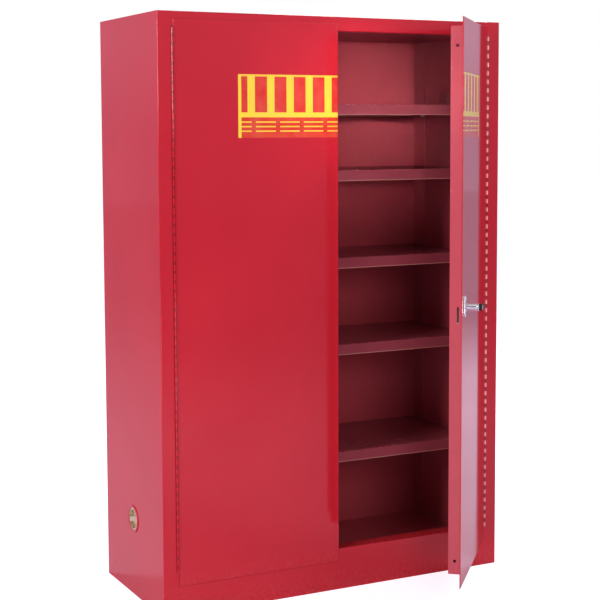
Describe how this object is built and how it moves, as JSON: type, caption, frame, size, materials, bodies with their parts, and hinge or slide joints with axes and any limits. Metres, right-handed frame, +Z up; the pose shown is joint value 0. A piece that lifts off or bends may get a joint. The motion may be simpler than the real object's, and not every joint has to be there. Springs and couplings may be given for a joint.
{
  "type": "flammable storage cabinet",
  "caption": "Double-walled two-door steel safety cabinet for paints and solvents, with adjustable shelves, latch handle, hinged doors, vents and a spill pan.",
  "frame": {"origin": "centre of the base, on the floor", "axes": "+X to the right seen from the front, +Y to the back, +Z up; the right door stands open"},
  "size_m": [1.0972, 0.8413, 1.651],
  "materials": {
    "red_paint": "gloss powder coat",
    "plated_steel": "zinc plated",
    "guide_plastic": "moulded nylon",
    "chrome": "polished",
    "black_enamel": "gloss black on die-cast metal",
    "label": "printed film",
    "brass": "cast and turned"
  },
  "bodies": {
    "cabinet": {"back_inner": "red_paint", "back_outer": "red_paint", "bottom_outer": "red_paint", "bottom_pan": "red_paint", "bottom_risers": "red_paint", "hinge_frame_leaf_left": "red_paint", "hinge_frame_leaf_right": "red_paint", "hinge_pin_left": "plated_steel", "hinge_pin_right": "plated_steel", "shelf_clips": "plated_steel", "shelf_strips_left": "red_paint", "shelf_strips_right": "red_paint", "side_inner_left": "red_paint", "side_inner_right": "red_paint", "side_outer_left": "red_paint", "side_outer_right": "red_paint", "sill": "red_paint", "top_inner": "red_paint", "top_outer": "red_paint", "vent_bung_left": "red_paint", "vent_bung_right": "red_paint", "vent_screen_left": "brass", "vent_screen_right": "brass"},
    "door_right": {"bolt_guide": "plated_steel", "door_pan_right": "red_paint", "door_skin_right": "red_paint", "escutcheon": "chrome", "escutcheon_screws": "plated_steel", "hinge_door_leaf_right": "red_paint", "label_right": "label", "rod_guides": "guide_plastic"},
    "door_left": {"door_pan_left": "red_paint", "door_skin_left": "red_paint", "hinge_door_leaf_left": "red_paint", "label_left": "label", "slide_guides": "guide_plastic", "strike_plate": "plated_steel"},
    "handle": {"handle_hub": "chrome", "handle_lever": "black_enamel", "latch_cam": "plated_steel", "shaft_clip": "plated_steel"},
    "latch_bolt": {"latch_bolt": "plated_steel"},
    "latch_rod_lower": {"latch_rod_lower": "plated_steel"},
    "latch_rod_upper": {"latch_rod_upper": "plated_steel"},
    "lock": {"lock_plug": "chrome"},
    "shelf_1": {"shelf_1": "red_paint"},
    "shelf_2": {"shelf_2": "red_paint"},
    "shelf_3": {"shelf_3": "red_paint"},
    "shelf_4": {"shelf_4": "red_paint"},
    "shelf_5": {"shelf_5": "red_paint"},
    "slide_bolt_lower": {"slide_bolt_lower": "plated_steel"},
    "slide_bolt_upper": {"slide_bolt_upper": "plated_steel"},
    "vent_cap_left": {"vent_cap_left": "brass"},
    "vent_cap_right": {"vent_cap_right": "brass"}
  },
  "joints": [
    {"name": "door_left_swing", "type": "hinge", "parent": "cabinet", "child": "door_left", "pos_m": [-0.5044, -0.2318, 0.8255], "axis": [0, 0, -1], "range_deg": [0, 175]},
    {"name": "door_right_swing", "type": "hinge", "parent": "cabinet", "child": "door_right", "pos_m": [0.5044, -0.2318, 0.8255], "axis": [0, 0, 1], "range_deg": [-48.3, 126.7]},
    {"name": "handle_turn", "type": "hinge", "parent": "door_right", "child": "handle", "pos_m": [0.19986, -0.57361, 0.855], "axis": [-0.7466, 0.6652, 0], "range_deg": [0, 90]},
    {"name": "lock_turn", "type": "hinge", "parent": "handle", "child": "lock", "pos_m": [0.19986, -0.57361, 0.855], "axis": [-0.7466, 0.6652, 0], "range_deg": [0, 90]},
    {"name": "latch_rod_upper_slide", "type": "slide", "parent": "door_right", "child": "latch_rod_upper", "axis": [0, 0, 1], "range_m": [0, 0.0227]},
    {"name": "latch_rod_lower_slide", "type": "slide", "parent": "door_right", "child": "latch_rod_lower", "axis": [0, 0, -1], "range_m": [0, 0.0227]},
    {"name": "latch_bolt_slide", "type": "slide", "parent": "door_right", "child": "latch_bolt", "axis": [-0.6652, -0.7466, 0], "range_m": [0, 0.0227]},
    {"name": "slide_bolt_upper_slide", "type": "slide", "parent": "door_left", "child": "slide_bolt_upper", "axis": [0, 0, 1], "range_m": [0, 0.02]},
    {"name": "slide_bolt_lower_slide", "type": "slide", "parent": "door_left", "child": "slide_bolt_lower", "axis": [0, 0, -1], "range_m": [0, 0.02]},
    {"name": "vent_cap_left_out", "type": "slide", "parent": "cabinet", "child": "vent_cap_left", "axis": [-1, 0, 0], "range_m": [0, 0.03]},
    {"name": "vent_cap_right_out", "type": "slide", "parent": "cabinet", "child": "vent_cap_right", "axis": [1, 0, 0], "range_m": [0, 0.03]},
    {"name": "shelf_1_lift", "type": "slide", "parent": "cabinet", "child": "shelf_1", "axis": [0, 0, 1], "range_m": [0, 0.03]},
    {"name": "shelf_2_lift", "type": "slide", "parent": "cabinet", "child": "shelf_2", "axis": [0, 0, 1], "range_m": [0, 0.03]},
    {"name": "shelf_3_lift", "type": "slide", "parent": "cabinet", "child": "shelf_3", "axis": [0, 0, 1], "range_m": [0, 0.03]},
    {"name": "shelf_4_lift", "type": "slide", "parent": "cabinet", "child": "shelf_4", "axis": [0, 0, 1], "range_m": [0, 0.03]},
    {"name": "shelf_5_lift", "type": "slide", "parent": "cabinet", "child": "shelf_5", "axis": [0, 0, 1], "range_m": [0, 0.03]}
  ],
  "couplings": [
    {"joint": "latch_rod_upper_slide", "follows": "handle_turn", "m_per_rad": 0.014405},
    {"joint": "latch_rod_lower_slide", "follows": "handle_turn", "m_per_rad": 0.014405},
    {"joint": "latch_bolt_slide", "follows": "handle_turn", "m_per_rad": 0.014405}
  ]
}
